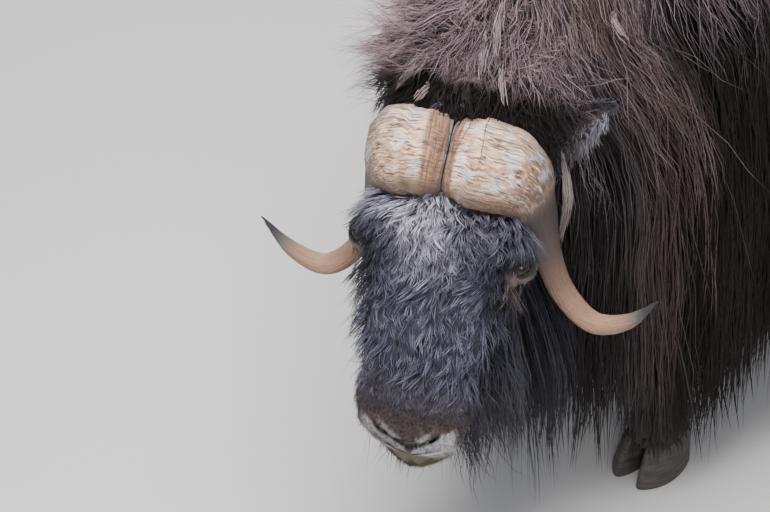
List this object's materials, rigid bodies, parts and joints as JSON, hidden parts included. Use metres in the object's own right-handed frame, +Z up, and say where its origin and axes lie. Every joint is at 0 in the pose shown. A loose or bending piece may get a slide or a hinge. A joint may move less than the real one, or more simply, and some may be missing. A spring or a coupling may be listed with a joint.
{
  "type": "standing muskox",
  "caption": "Life-size muskox bull that stands with its lowered head turned a little to its left, with a broad horn boss, hooked horns and a long shaggy coat; a still model.",
  "frame": {"origin": "middle of the object's box, at the level of the floor on which the hooves stand", "axes": "+Z up, the animal faces -Y, +X to its own left"},
  "size_m": [0.9, 2.3102, 1.3644],
  "materials": {
    "coat": "long wavy hair, dark brown, red-brown on the flanks and lighter on the mane",
    "face": "short blue-grey to black hair, pale round the nose",
    "horn": "fibrous pale boss, tan hooks with dark tips",
    "eye": "wet dark brown",
    "ear": "soft grey hair",
    "leg": "short pale hair, muddied at the foot",
    "hoof": "dark worn horn"
  },
  "bodies": {
    "root": {"head": "face", "horn_left": "horn", "horn_right": "horn", "eye_left": "eye", "eye_right": "eye", "ear_left": "ear", "ear_right": "ear", "neck": "coat", "shoulder_left": "coat", "shoulder_right": "coat", "flank_left": "coat", "flank_right": "coat", "haunch_left": "coat", "haunch_right": "coat", "tail": "coat", "leg_front_left": "leg", "leg_front_right": "leg", "leg_rear_left": "leg", "leg_rear_right": "leg", "hoof_front_left": "hoof", "hoof_front_right": "hoof", "hoof_rear_left": "hoof", "hoof_rear_right": "hoof"}
  },
  "joints": []
}
